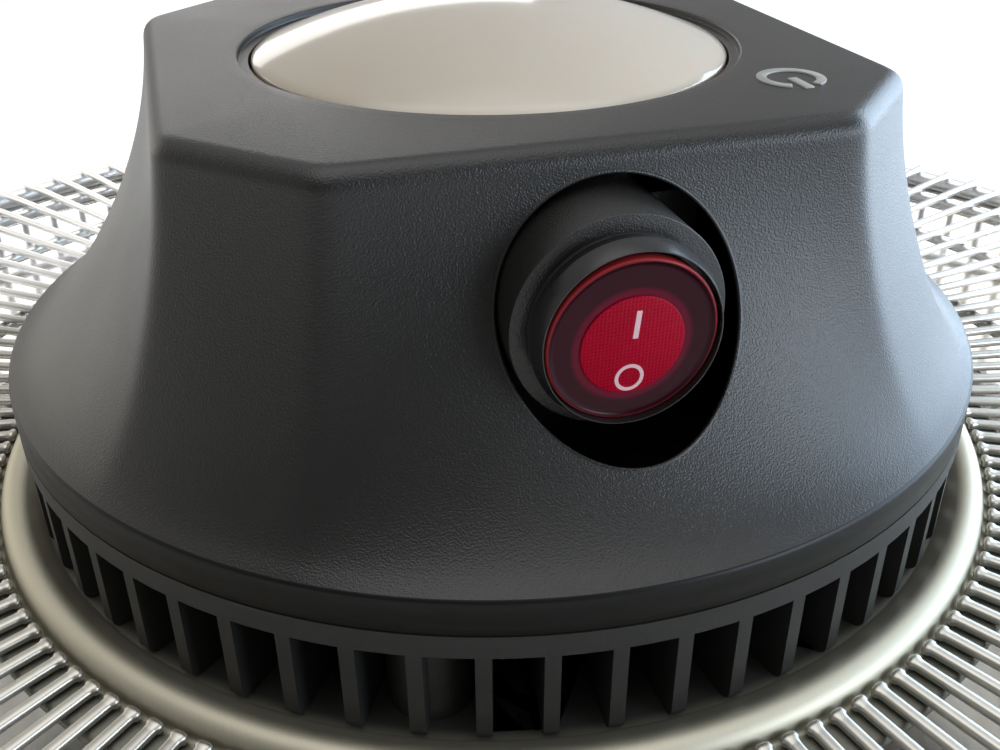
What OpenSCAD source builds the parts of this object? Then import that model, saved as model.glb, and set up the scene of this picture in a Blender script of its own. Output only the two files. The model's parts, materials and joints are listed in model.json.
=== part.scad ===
// Hanging dish heater, modelled lying on its rear housing with the lamp pod on top.
// Millimetres, +Z up, origin at the bottom centre of the rear housing, switch towards -Y.

/* [Lamp pod] */
// Radius of the pod at the sharp crease above its lip
pod_r = 87; // [84:0.5:90]
// Height of the pod's flat top above the crease
pod_h = 47.8; // [46:0.2:50]
// Distance from the axis to a long edge of the flat top
top_long = 53.6; // [52:0.2:55]
// Distance from the axis to a short corner edge of the flat top
top_short = 63.6; // [63:0.2:66]
// Size of the rounded edge round the flat top
top_edge = 3.3; // [2:0.1:4]
// Wall of the pod cover
cover_wall = 2.4; // [1.8:0.1:2.8]
// Height of the upright lip under the crease
lip_h = 5.9; // [5:0.1:7]
// Number of cooling fins under the pod
fin_count = 60; // [48:4:60]
// Thickness of a cooling fin
fin_t = 2.2; // [1.6:0.1:2.6]
// Height of the cooling fins
fin_h = 15.8; // [14:0.1:17]

/* [Lamp] */
// Radius of the opal lamp dome
dome_r = 40; // [38:0.5:41]
// Height of the dome's crown over its edge
dome_rise = 8; // [5:0.5:12]

/* [Switch] */
// Radius of the round opening in the front of the pod cover
opening_r = 17.2; // [17:0.1:18]
// Radius of the barrel that carries the switch
barrel_r = 14.9; // [14.4:0.1:15.1]
// Height of the opening's centre above the crease
opening_up = 26.6; // [26.4:0.1:26.8]
// Height of the switch axis above the crease
switch_up = 27.3; // [27:0.1:27.5]
// How far the switch sits to the left of the opening's centre
switch_left = 1.8; // [0:0.1:2]
// Radius of the red rocker
rocker_r = 11.6; // [11:0.1:11.6]
// Angle from the rocker's middle position to either stop
rocker_tilt = 3.5; // [2:0.5:4]

/* [Dish and guard] */
// Radius at the middle of the dish's rolled rim
dish_r = 208; // [204:1:212]
// Depth of the polished dish
dish_depth = 93; // [90:1:96]
// Number of radial guard wires
wire_count = 138; // [90:2:140]
// Radius of a guard wire
wire_r = 1; // [0.8:0.05:1.1]
// Radius of the heating ring at the middle of its tube
ring_r = 138; // [130:1:145]
// Outer radius of the heating tube
tube_r = 5.5; // [5:0.1:6]

/* [Rear housing and bail] */
// Radius of the rear housing
canopy_r = 66; // [65:0.5:67]
// Height of the rear housing
canopy_h = 40; // [39.5:0.5:40]
// Length of the bail's arms from the pivot
bail_len = 98; // [96:1:110]
// Radius of the eye that hangs on the ceiling hook
eye_r = 4.1; // [3.1:0.1:5]

/* [Hidden] */
$fn = 96;

// Heights of the main levels
crease_z = 176;
top_z = crease_z + pod_h;
parting_z = crease_z - lip_h;
base_band = 3.7;
fin_top_z = parting_z - base_band;
fin_foot_z = fin_top_z - fin_h;
pan_z = fin_foot_z - 0.1;
wire_z = crease_z - 25.9;
switch_z = crease_z + switch_up;

// Colours
black = [0.11, 0.11, 0.11];
dark = [0.2, 0.2, 0.2];
silver = [0.74, 0.73, 0.69];
steel = [0.66, 0.66, 0.64];
brass = [0.78, 0.62, 0.3];
ceramic = [0.9, 0.88, 0.82];
red = [0.72, 0.05, 0.08];

// ---------- small helpers ----------

// A ring between two radii
module ring(outer, inner, h) {
    difference() {
        cylinder(r = outer, h = h);
        translate([0, 0, -1]) cylinder(r = inner, h = h + 2);
    }
}

// A hexagon nut with a plain bore
module hex_nut(across_flats, h, bore) {
    difference() {
        cylinder(r = across_flats / 2 / cos(30), h = h, $fn = 6);
        translate([0, 0, -1]) cylinder(r = bore, h = h + 2, $fn = 32);
    }
}

// A screw along +Z: its head's underside is at the origin and its shank runs up
module screw_up(shank, length, head, head_h) {
    translate([0, 0, -head_h * 0.4]) cylinder(r = shank, h = length + head_h * 0.4, $fn = 24);
    difference() {
        translate([0, 0, -head_h]) cylinder(r = head, h = head_h, $fn = 32);
        for (a = [0, 90]) rotate(a) translate([-head * 0.6, -0.35, -head_h - 0.5])
            cube([head * 1.2, 0.7, head_h * 0.4 + 0.5]);
    }
}

// Turns a shape drawn along +Z so that it points along -Y from the switch axis
module at_switch(y) {
    translate([0, y, switch_z]) rotate([90, 0, 0]) children();
}

// The switch and its carrier sit a little to the left in their opening
module switch_place() {
    translate([-switch_left, 0, 0]) children();
}

// Copies at equal steps round the Z axis
module around(count, start = 0) {
    for (i = [0:count - 1]) rotate(start + i * 360 / count) children();
}

// ---------- outline of the pod cover ----------

// The plan is a square with short corner sides; its corners are softened with a power mean
corner_power = 90;
function side_term(a, n, d) = pow(max(cos(a - n), 0.01) / d, corner_power);
function plan_r(a, long, short) = pow(
    side_term(a, 0, long) + side_term(a, 90, long) + side_term(a, 180, long)
    + side_term(a, 270, long) + side_term(a, 45, short) + side_term(a, 135, short)
    + side_term(a, 225, short) + side_term(a, 315, short), -1 / corner_power);

// Angle from a long side's middle to the corner that it shares with a short side
corner_a = atan2(top_short * sqrt(2) - top_long, top_long);
long_steps = 10;
quarter = concat(
    [for (i = [0:long_steps]) (corner_a - 2.5) * (2 * i / long_steps - 1)],
    [corner_a, corner_a + 2.5, 45, 90 - corner_a - 2.5, 90 - corner_a]);
ring_angles = [for (q = [0:3]) for (a = quarter) a + 90 * q];

// The flare from the flat-sided top (0) to the round crease (1) is a quartic curve
flare_t = [0, 0.263, 0.499, 0.934, 1];
flare_g = [0, 0.084, 0.252, 0.65, 1];
function quartic(p, s) = p[0] * pow(1 - s, 4) + 4 * p[1] * pow(1 - s, 3) * s
    + 6 * p[2] * pow(1 - s, 2) * s * s + 4 * p[3] * (1 - s) * pow(s, 3) + p[4] * pow(s, 4);

function plan_ring(z, long, short, round_r, g) = [for (a = ring_angles)
    let (r = plan_r(a, long, short) * (1 - g) + round_r * g) [r * cos(a), r * sin(a), z]];

// Closes a stack of equal rings, from the lowest to the highest, into a solid
module stack_solid(rings) {
    n = len(rings[0]);
    m = len(rings);
    points = [for (r = rings) for (p = r) p];
    walls = [for (j = [0:m - 2]) for (i = [0:n - 1]) let (k = (i + 1) % n)
        [j * n + i, (j + 1) * n + i, (j + 1) * n + k, j * n + k]];
    floor_face = [for (i = [0:n - 1]) i];
    roof_face = [for (i = [0:n - 1]) m * n - 1 - i];
    polyhedron(points = points, faces = concat(walls, [floor_face, roof_face]), convexity = 4);
}

flare_steps = 10;
edge_steps = 4;
module pod_outer() {
    flare_h = pod_h - top_edge;
    long = top_long + top_edge;
    short = top_short + top_edge;
    stack_solid(concat(
        [plan_ring(parting_z, long, short, pod_r, 1)],
        [for (i = [flare_steps:-1:0]) let (s = i / flare_steps) plan_ring(
            crease_z + flare_h * (1 - quartic(flare_t, s)), long, short, pod_r,
            quartic(flare_g, s))],
        [for (i = [1:edge_steps]) let (a = 90 * i / edge_steps) plan_ring(
            crease_z + flare_h + top_edge * sin(a), long - top_edge * (1 - cos(a)),
            short - top_edge * (1 - cos(a)), pod_r, 0)]));
}

roof_t = 3.2;
inner_steps = 6;
module pod_inner() {
    flare_h = pod_h - roof_t;
    long = top_long + top_edge - cover_wall;
    short = top_short + top_edge - cover_wall;
    stack_solid(concat(
        [plan_ring(parting_z - 1, long, short, pod_r - cover_wall, 1)],
        [for (i = [inner_steps:-1:0]) let (s = i / inner_steps) plan_ring(
            crease_z - 1.6 + (flare_h + 1.6) * (1 - quartic(flare_t, s)), long, short,
            pod_r - cover_wall, quartic(flare_g, s))]));
}

// ---------- lamp pod ----------

recess_r = dome_r + 2.1;
recess_depth = 1.2;
roof_under_z = top_z - roof_t;
tray_hole_r = 50;
tray_z = roof_under_z - 6.1;
post_ring_r = 77;
post_phase = -112.6;
symbol_at = [36.8, -36.9];
symbol_r = 5.2;
symbol_stroke = 1.5;
symbol_inlay = 0.6;

module power_mark(grow = 0) {
    gap_half = 27;
    difference() {
        circle(r = symbol_r + grow);
        circle(r = symbol_r - symbol_stroke - grow);
        polygon([[0, 0], [9 * sin(-gap_half), -9 * cos(gap_half)],
            [9 * sin(gap_half), -9 * cos(gap_half)]]);
    }
    translate([-symbol_stroke / 2 - grow, -symbol_r - 0.4 - grow])
        square([symbol_stroke + 2 * grow, symbol_r + 0.2 + 2 * grow]);
}

module pod_cover() {
    color(black) difference() {
        union() {
            difference() {
                pod_outer();
                pod_inner();
            }
            around(4, 45) translate([tray_hole_r, 0, tray_z + 1.5])
                cylinder(r = 3.6, h = roof_under_z - tray_z - 1, $fn = 32);
            intersection() {
                pod_outer();
                around(4, post_phase) translate([post_ring_r, 0, parting_z])
                    cylinder(r = 4, h = 9.5, $fn = 32);
            }
        }
        translate([0, 0, top_z - recess_depth]) cylinder(r = recess_r, h = 5);
        translate([0, 0, roof_under_z - 1]) cylinder(r = dome_r + 0.4, h = 10);
        translate([0, -30, crease_z + opening_up]) rotate([90, 0, 0])
            cylinder(r = opening_r, h = 80);
        translate([symbol_at[0], symbol_at[1], top_z - symbol_inlay])
            linear_extrude(2) power_mark();
        around(4, 45) translate([tray_hole_r, 0, tray_z])
            cylinder(r = 1.25, h = 6.5, $fn = 24);
        around(4, post_phase) translate([post_ring_r, 0, parting_z - 1])
            cylinder(r = 1.65, h = 8.5, $fn = 24);
    }
}

module power_symbol() {
    color([0.78, 0.78, 0.76]) translate([symbol_at[0], symbol_at[1], top_z - symbol_inlay])
        linear_extrude(symbol_inlay + 0.2) power_mark();
}

dome_wall = 2;
dome_ball = (dome_r * dome_r + dome_rise * dome_rise) / (2 * dome_rise);
dome_edge_z = top_z - 0.8;
flange_z = roof_under_z - 2.3;
module lamp_dome() {
    color([0.86, 0.83, 0.76]) {
        difference() {
            intersection() {
                translate([0, 0, dome_edge_z + dome_rise - dome_ball]) sphere(r = dome_ball);
                translate([0, 0, flange_z + 1.5]) cylinder(r = dome_r, h = 30);
            }
            intersection() {
                translate([0, 0, dome_edge_z + dome_rise - dome_ball])
                    sphere(r = dome_ball - dome_wall);
                translate([0, 0, flange_z]) cylinder(r = dome_r - dome_wall, h = 30);
            }
        }
        translate([0, 0, flange_z]) ring(dome_r + 4, dome_r - dome_wall, 1.5);
    }
}

module dome_gasket() {
    color(dark) translate([0, 0, flange_z + 1.5]) ring(dome_r + 4, dome_r + 0.6, 0.8);
}

module led_tray() {
    color(steel) difference() {
        union() {
            translate([0, 0, tray_z]) cylinder(r = 45, h = 1.5);
            translate([0, 0, tray_z]) ring(45, 43.4, flange_z - tray_z);
            around(4, 45) translate([tray_hole_r, 0, tray_z]) cylinder(r = 4.5, h = 1.5);
        }
        around(4, 45) translate([tray_hole_r, 0, tray_z - 1])
            cylinder(r = 1.6, h = 4, $fn = 24);
        translate([0, 0, tray_z - 1]) cylinder(r = 4, h = 4);
    }
}

module led_board() {
    color([0.9, 0.9, 0.88]) translate([0, 0, tray_z + 1.5]) ring(36, 4, 1.6);
}

module led_chips() {
    color([0.95, 0.85, 0.45]) {
        around(12) translate([27, 0, tray_z + 3.1]) translate([-1.75, -1.4, 0])
            cube([3.5, 2.8, 0.8]);
        around(6, 30) translate([13, 0, tray_z + 3.1]) translate([-1.75, -1.4, 0])
            cube([3.5, 2.8, 0.8]);
    }
}

module tray_screws() {
    color(steel) around(4, 45) translate([tray_hole_r, 0, tray_z])
        screw_up(1.2, 6.2, 2.6, 1.6);
}

// One fin with a rounded lower outer corner, drawn in the plane of radius and height
fin_root_r = 62;
fin_corner = 1.8;
module fin_profile() {
    depth = pod_r - 0.3 - fin_root_r;
    square([depth - fin_corner, fin_h]);
    translate([0, fin_corner]) square([depth, fin_h - fin_corner]);
    translate([depth - fin_corner, fin_corner]) circle(r = fin_corner, $fn = 48);
}

module pod_base() {
    floor_t = 2.2;
    fin_phase = 1.2;
    color(black) difference() {
        union() {
            translate([0, 0, fin_top_z]) ring(pod_r, pod_r - 4, base_band);
            translate([0, 0, fin_top_z]) cylinder(r = pod_r - 2, h = floor_t);
            translate([0, 0, fin_top_z + 1]) ring(pod_r - 2.8, pod_r - 4.6, 6);
            translate([0, 0, fin_foot_z]) ring(fin_root_r + 0.5, fin_root_r - 1.7, fin_h + 1);
            around(fin_count, fin_phase) translate([fin_root_r, fin_t / 2, fin_foot_z])
                rotate([90, 0, 0]) linear_extrude(fin_t) fin_profile();
            around(4, post_phase) translate([post_ring_r, 0, fin_foot_z])
                cylinder(r = 6.3, h = fin_h + 1, $fn = 48);
            around(4, post_phase) translate([post_ring_r, 0, fin_top_z])
                cylinder(r = 3.6, h = base_band, $fn = 32);
            for (x = [-28, 28], y = [22, 52]) translate([x, y, fin_top_z + 1])
                cylinder(r = 3, h = base_band + lip_h - 1, $fn = 32);
        }
        translate([0, 0, fin_top_z - 2]) cylinder(r = 8.2, h = 10);
        around(4, post_phase) translate([post_ring_r, 0, fin_foot_z - 1])
            cylinder(r = 1.75, h = 40, $fn = 24);
        for (x = [-28, 28], y = [22, 52]) translate([x, y, fin_top_z + 3])
            cylinder(r = 1.05, h = 10, $fn = 24);
        switch_place() for (x = [-12, 12]) translate([x, -36, fin_top_z - 1])
            cylinder(r = 1.35, h = 8, $fn = 24);
    }
}

hub_t = 1;
module pod_screws() {
    color(steel) around(4, post_phase) translate([post_ring_r, 0, pan_z - hub_t])
        screw_up(1.6, parting_z - pan_z + hub_t + 7, 3.4, 2);
}

// ---------- switch ----------

barrel_y = 66.9;
carrier_y = 46;
carrier_floor_z = fin_top_z + 2.2;
module switch_carrier() {
    plate_w = 38;
    plate_top = crease_z + 37;
    color(black) switch_place() difference() {
        union() {
            at_switch(-carrier_y) cylinder(r = barrel_r, h = barrel_y - carrier_y);
            translate([-plate_w / 2, -carrier_y - 2.4, carrier_floor_z])
                cube([plate_w, 2.4, plate_top - carrier_floor_z]);
            translate([-plate_w / 2, -carrier_y - 0.01, carrier_floor_z])
                cube([plate_w, 14, 2.4]);
        }
        at_switch(-carrier_y + 1) cylinder(r = barrel_r - 2.2, h = barrel_y - carrier_y - 3.2);
        at_switch(-carrier_y + 1) cylinder(r = 10.25, h = barrel_y);
        for (x = [-12, 12]) translate([x, -36, carrier_floor_z - 1])
            cylinder(r = 1.7, h = 5, $fn = 24);
    }
}

module carrier_screws() {
    color(steel) switch_place() for (x = [-12, 12]) translate([x, -36, carrier_floor_z + 2.4])
        rotate([180, 0, 0]) screw_up(1.3, 5, 2.8, 1.6);
}

flange_y = 67.6;
module switch_seal() {
    color(dark) switch_place() at_switch(-barrel_y) ring(12.6, 10.1, flange_y - barrel_y);
}

// The bezel is a cone round a round pocket; the body behind it is a snap-in barrel
pocket_r = rocker_r + 0.4;
pivot_y = 65.8;
body_back_y = 45.8;
bezel_y = 69.2;
module switch_body() {
    color(black) switch_place() difference() {
        union() {
            at_switch(-flange_y) cylinder(r = 12.6, h = bezel_y - flange_y);
            at_switch(-bezel_y) cylinder(r = 12.9, h = 0.4);
            at_switch(-bezel_y - 0.4) cylinder(r1 = 12.9, r2 = 12.3, h = 1.8);
            at_switch(-body_back_y) cylinder(r = 10, h = flange_y - body_back_y + 0.5);
        }
        at_switch(-flange_y - 0.8) cylinder(r = pocket_r, h = 5);
        translate([-7.8, -pivot_y - 3.4, switch_z - 8]) cube([15.6, 19.4, 16]);
        translate([-9.5, -pivot_y, switch_z]) rotate([0, 90, 0])
            cylinder(r = 1.05, h = 19, $fn = 32);
        for (z = [-6, 0, 6]) translate([-3.1, -body_back_y - 5, switch_z + z - 0.5])
            cube([6.2, 10, 1]);
    }
}

module switch_terminals() {
    color(brass) switch_place() {
        for (z = [-6, 6]) translate([-3, 11.4 - pivot_y, switch_z + z - 0.4])
            cube([6, 17.6, 0.8]);
        translate([-3, 10.7 - pivot_y, switch_z - 0.4]) cube([6, 18.3, 0.8]);
        for (z = [-6, 6]) translate([-2.4, 11.1 - pivot_y, switch_z + z - 1.2])
            cube([4.8, 0.6, 2.4]);
    }
}

// The lever rocks on the middle terminal, opposite to the rocker
lever_y = pivot_y - 10.1;
module contact_lever() {
    color(brass) translate([-switch_left, -lever_y, switch_z]) rotate([-2 * rocker_tilt, 0, 0]) {
        translate([-2, -0.6, -6]) cube([4, 0.6, 12]);
        rotate([0, 90, 0]) translate([0, 0, -1.8]) cylinder(r = 0.5, h = 3.6, $fn = 32);
    }
}

// Places a rocker part, drawn along -Y from the pivot, at the lower (off) stop
module on_rocker() {
    translate([-switch_left, -pivot_y, switch_z]) rotate([rocker_tilt, 0, 0]) children();
}

disc_front = 5.8;
disc_t = 2.2;
stem_y = 3.4;
module rocker() {
    color(red) on_rocker() difference() {
        union() {
            rotate([90, 0, 0]) translate([0, 0, disc_front - disc_t])
                cylinder(r = rocker_r, h = disc_t - 0.6);
            rotate([90, 0, 0]) translate([0, 0, disc_front - 0.6])
                cylinder(r1 = rocker_r, r2 = rocker_r - 0.4, h = 0.6);
            translate([-6.5, -stem_y - 0.01, -4.5]) cube([13, stem_y + 3, 9]);
            rotate([0, 90, 0]) translate([0, 0, -9.2]) cylinder(r = 1, h = 18.4, $fn = 32);
        }
        translate([0, 4, 0]) rotate([90, 0, 0]) cylinder(r = 2, h = 6, $fn = 32);
    }
}

module rocker_plunger() {
    color(brass) on_rocker() {
        translate([0, 2.8, 0]) rotate([90, 0, 0]) cylinder(r = 1.9, h = 1.2, $fn = 32);
        translate([0, 9.2, 0]) rotate([90, 0, 0]) cylinder(r = 1.1, h = 7, $fn = 32);
    }
}

module plunger_spring() {
    color(steel) on_rocker() translate([0, 1.6, 0]) rotate([90, 0, 0]) ring(1.8, 1.3, 3.6);
}

// ---------- control electronics ----------

board_z = parting_z + lip_h;
module control_board() {
    color([0.16, 0.36, 0.2]) difference() {
        translate([-33, 17, board_z]) cube([66, 40, 1.6]);
        for (x = [-28, 28], y = [22, 52]) translate([x, y, board_z - 1])
            cylinder(r = 1.6, h = 4, $fn = 24);
    }
}

module relay() {
    color([0.12, 0.22, 0.5]) translate([-22, 30, board_z + 1.6]) cube([15.5, 19, 15.3]);
}

module power_supply() {
    color([0.85, 0.75, 0.3]) {
        translate([2, 24, board_z + 1.6]) cube([22, 20, 5]);
        translate([5, 26, board_z + 6.6]) cube([16, 16, 9]);
    }
}

module capacitor() {
    color(dark) translate([-1.5, 49, board_z + 1.6]) cylinder(r = 4, h = 14, $fn = 48);
}

module board_screws() {
    color(steel) for (x = [-28, 28], y = [22, 52]) translate([x, y, board_z + 1.6])
        rotate([180, 0, 0]) screw_up(1, 6.5, 2.2, 1.4);
}

// ---------- guard ----------

bead_mid_r = 90.7;
bead_outer = 3.2;
flange_r = 100;
flange_roll = 1.2;
hoop_r = 2.5;
hoop_z = wire_z - 8.6;
wire_start_r = bead_mid_r + bead_outer + 0.6;
wire_end_r = dish_r + 0.6;
wire_drop = wire_z - hoop_z - hoop_r - wire_r - 0.02;
function wire_z_at(r) = wire_z - wire_drop * (r - wire_start_r) / (wire_end_r - wire_start_r);
hub_low_z = wire_z_at(flange_r) - wire_r;
module guard_hub() {
    color(silver) difference() {
        rotate_extrude($fn = 180) {
            translate([8.2, pan_z - hub_t]) square([bead_mid_r - bead_outer + 0.6 - 8.2, hub_t]);
            translate([bead_mid_r, pan_z - hub_t]) difference() {
                circle(r = bead_outer, $fn = 48);
                circle(r = bead_outer - hub_t, $fn = 48);
                translate([-5, -10]) square([10, 10]);
            }
            translate([bead_mid_r + bead_outer - hub_t, hub_low_z - hub_t])
                square([hub_t, pan_z - hub_low_z + 0.05]);
            translate([bead_mid_r + bead_outer - hub_t, hub_low_z - hub_t])
                square([flange_r - bead_mid_r - bead_outer + hub_t, hub_t]);
            translate([flange_r, hub_low_z - flange_roll]) circle(r = flange_roll, $fn = 32);
        }
        around(4, post_phase) translate([post_ring_r, 0, pan_z - 5])
            cylinder(r = 1.75, h = 10, $fn = 24);
    }
}

// The wires run straight from the hub's flange down to the top of the hoop
module guard_wires() {
    run = wire_end_r - wire_start_r;
    color(silver) around(wire_count) translate([wire_start_r, 0, wire_z])
        rotate([0, 90 + atan2(wire_drop, run), 0])
            cylinder(r = wire_r, h = sqrt(run * run + wire_drop * wire_drop), $fn = 16);
}

guard_ring_r = 1.5;
module guard_rings() {
    color(silver) for (r = [125, 158, 188]) rotate_extrude($fn = 180)
        translate([r, wire_z_at(r) - wire_r - guard_ring_r]) circle(r = guard_ring_r, $fn = 32);
}

module guard_hoop() {
    color(silver) rotate_extrude($fn = 180) translate([dish_r, hoop_z]) circle(r = hoop_r, $fn = 32);
}

// Spring clips pinch the guard's hoop to the rolled rim of the dish
rim_bead_r = 3;
rim_z = hoop_z - hoop_r - rim_bead_r;
clip_w = 16;
module rim_clips() {
    inner_r = dish_r + rim_bead_r + 0.4;
    low = rim_z - rim_bead_r - 0.4;
    high = hoop_z + hoop_r + 3;
    color(steel) around(6, 10) translate([0, clip_w / 2, 0]) rotate([90, 0, 0])
        linear_extrude(clip_w) {
            translate([inner_r, low - 1.2]) square([1.2, high - low + 2.4]);
            translate([dish_r - 1.5, low - 1.2]) square([inner_r - dish_r + 2, 1.2]);
            translate([dish_r - 9, high]) square([inner_r - dish_r + 9.5, 1.2]);
        }
}

// ---------- dish ----------

// The parabola through the dish's floor and its rim
dish_floor_z = rim_z - dish_depth;
dish_k = dish_depth / (dish_r * dish_r);
function dish_z(r) = dish_floor_z + dish_k * r * r;
dish_steps = 16;
dish_hole_r = 24;
dish_screw_r = 60;
dish_screw_rise = 1.1;
dish_edge_r = dish_r - 2.2;
dish_t = 0.8;
function dish_at(i) = dish_hole_r + (dish_edge_r - dish_hole_r) * i / dish_steps;

module reflector() {
    color([0.8, 0.79, 0.76]) difference() {
        rotate_extrude($fn = 180) polygon(concat(
            [for (i = [0:dish_steps]) [dish_at(i), dish_z(dish_at(i))]],
            [for (a = [210:-15:-120]) [dish_r + rim_bead_r * cos(a), rim_z + rim_bead_r * sin(a)]],
            [for (i = [dish_steps:-1:0]) [dish_at(i), dish_z(dish_at(i)) - dish_t]]));
        around(3, 90) translate([dish_screw_r, 0, dish_z(dish_screw_r) - 5])
            cylinder(r = 1.8, h = 12, $fn = 24);
    }
}

// Everything under the dish's front face, for feet that stand on the slope
module under_dish() {
    rotate_extrude($fn = 180) polygon(concat([[0, 0], [0, dish_z(dish_hole_r)]],
        [for (i = [0:dish_steps]) [dish_at(i), dish_z(dish_at(i))]], [[dish_edge_r, 0]]));
}

shell_gap = 7;
shell_t = 1;
shell_flat_r = 72;
module back_shell() {
    step_r = 75;
    edge_r = 204.4;
    steps = 12;
    flat_z = canopy_h;
    function shell_r(i) = step_r + (edge_r - step_r) * i / steps;
    function shell_z(r) = dish_z(r) - shell_gap;
    color(black) difference() {
        rotate_extrude($fn = 180) polygon(concat(
            [[8.1, flat_z], [shell_flat_r, flat_z]],
            [for (i = [0:steps]) [shell_r(i), shell_z(shell_r(i))]],
            [[edge_r, dish_z(edge_r) - dish_t - 0.6], [edge_r - shell_t, dish_z(edge_r) - dish_t - 0.9]],
            [for (i = [steps:-1:0]) [shell_r(i) - 0.9, shell_z(shell_r(i)) + shell_t + 0.2]],
            [[shell_flat_r - 1, flat_z + shell_t], [8.1, flat_z + shell_t]]));
        around(4, 45) translate([51, 0, flat_z - 1]) cylinder(r = 2.15, h = 3, $fn = 24);
        around(3, 90) translate([dish_screw_r, 0, flat_z - 1]) cylinder(r = 1.7, h = 3, $fn = 24);
    }
}

// Spacer posts and screws that carry the dish on the shell
module reflector_screws() {
    foot = canopy_h + shell_t;
    roof = dish_z(dish_screw_r);
    color(steel) around(3, 90) translate([dish_screw_r, 0, 0]) {
        translate([0, 0, foot]) ring(4, 1.72, roof - dish_t - dish_screw_rise - foot);
        translate([0, 0, roof + dish_screw_rise]) rotate([180, 0, 0]) screw_up(1.6, 14, 3.4, 2);
    }
}

shield_z = wire_z - 14;
module heat_shield() {
    color(steel) rotate_extrude($fn = 180) polygon([[8.2, shield_z], [30, shield_z],
        [84, shield_z - 6], [84, shield_z - 5], [30, shield_z + 1], [8.2, shield_z + 1]]);
}

post_r = 8;
post_top = crease_z;
module centre_post() {
    color(steel) translate([0, 0, 31]) ring(post_r, post_r - 1.8, post_top - 31);
    color(steel) translate([0, 0, shield_z + 1]) ring(12, post_r + 0.1, pan_z - hub_t - shield_z - 1);
}

module post_nuts() {
    nut_bore = post_r + 0.05;
    color(steel) {
        translate([0, 0, canopy_h - 6]) hex_nut(24, 6, nut_bore);
        translate([0, 0, canopy_h + shell_t]) hex_nut(24, 6, nut_bore);
        translate([0, 0, shield_z - 6]) hex_nut(24, 6, nut_bore);
        translate([0, 0, fin_top_z + 2.2]) hex_nut(24, 5.5, nut_bore);
    }
}

// ---------- heating ring ----------

ring_z = wire_z - 32;
end_a = 9;

// A round bar along the heating ring, open at the back where the two caps are
module ring_bar(outer, inner) {
    translate([0, 0, ring_z]) rotate(90 + end_a)
        rotate_extrude(angle = 360 - 2 * end_a, $fn = 180) translate([ring_r, 0]) difference() {
            circle(r = outer, $fn = 32);
            circle(r = inner, $fn = 32);
        }
}

module heater_tube() {
    color([0.85, 0.83, 0.8, 0.6]) ring_bar(tube_r, tube_r - 1);
}

module filament() {
    color([0.3, 0.28, 0.26]) ring_bar(1.6, 0.6);
}

// Copies a shape drawn at one end of the tube, with +Y along the tube, to both ends
cap_w = 18;
module at_caps() {
    for (side = [0, 1]) mirror([side, 0, 0]) rotate(90 + end_a)
        translate([ring_r, 0, ring_z]) children();
}

module tube_end_caps() {
    color(ceramic) at_caps() difference() {
        translate([-cap_w / 2, -12, -cap_w / 2]) cube([cap_w, 17, cap_w]);
        translate([0, 5.5, 0]) rotate([90, 0, 0]) cylinder(r = tube_r + 0.4, h = 7.5, $fn = 48);
        translate([0, 0, -cap_w]) translate([0, -7, 0]) cylinder(r = 1.4, h = 14, $fn = 24);
    }
}

module cap_bracket() {
    plate_z = ring_z - cap_w / 2 - 1.5;
    plate_y = ring_r - 14;
    color(steel) {
        difference() {
            translate([-31, plate_y, plate_z]) cube([62, 24, 1.5]);
            at_caps() translate([0, -7, -cap_w]) cylinder(r = 2.5, h = 14, $fn = 24);
        }
        difference() {
            for (x = [-31, 28.5]) translate([x, plate_y, dish_z(100)])
                cube([2.5, 24, plate_z - dish_z(100) + 0.01]);
            under_dish();
        }
    }
}

// Spring clips that hold the ring tube over the dish
module tube_clips() {
    clip_in = tube_r + 0.2;
    clip_out = clip_in + 1.4;
    color(steel) difference() {
        for (a = [-90, 10, 170]) rotate(a) translate([ring_r, 4, ring_z]) rotate([90, 0, 0]) {
            difference() {
                cylinder(r = clip_out, h = 8, $fn = 48);
                translate([0, 0, -1]) cylinder(r = clip_in, h = 10, $fn = 48);
                translate([-3, 0, -1]) cube([6, 20, 10]);
            }
            translate([-0.8, -46, 0]) cube([1.6, 46 - clip_in - 0.3, 8]);
        }
        under_dish();
    }
}

// ---------- rear housing ----------

canopy_t = 1.5;
canopy_round = 8;
pivot_z = 15;
screw_ring_r = 51;
gland_z = 20;
module rear_canopy() {
    color(black) difference() {
        union() {
            rotate_extrude($fn = 180) {
                difference() {
                    union() {
                        square([canopy_r - canopy_round, canopy_round]);
                        translate([0, canopy_round]) square([canopy_r, canopy_h - canopy_round]);
                        intersection() {
                            translate([canopy_r - canopy_round, canopy_round])
                                circle(r = canopy_round, $fn = 64);
                            translate([canopy_r - canopy_round, 0])
                                square([canopy_round, canopy_round]);
                        }
                    }
                    translate([-1, canopy_t]) square([canopy_r - canopy_round + 1, canopy_h]);
                    translate([0, canopy_round])
                        square([canopy_r - canopy_t, canopy_h]);
                    intersection() {
                        translate([canopy_r - canopy_round, canopy_round])
                            circle(r = canopy_round - canopy_t, $fn = 64);
                        translate([canopy_r - canopy_round, 0])
                            square([canopy_round, canopy_round]);
                    }
                }
            }
            around(4, 45) translate([screw_ring_r, 0, 1]) cylinder(r = 5.5, h = canopy_h - 1, $fn = 32);
            for (side = [0, 180]) rotate(side) translate([canopy_r - 6, 0, pivot_z])
                rotate([0, 90, 0]) cylinder(r = 10, h = 7.5, $fn = 48);
            translate([0, -canopy_r + 6, gland_z]) rotate([90, 0, 0])
                cylinder(r = 13.5, h = 7, $fn = 48);
        }
        around(4, 45) translate([screw_ring_r, 0, -1]) {
            cylinder(r = 2.15, h = 60, $fn = 24);
            cylinder(r = 4.4, h = 5, $fn = 32);
        }
        for (side = [0, 180]) rotate(side) translate([canopy_r - 10, 0, pivot_z])
            rotate([0, 90, 0]) cylinder(r = 3.02, h = 20, $fn = 48);
        translate([0, -canopy_r + 10, gland_z]) rotate([90, 0, 0])
            cylinder(r = 8.05, h = 20, $fn = 48);
    }
}

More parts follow.
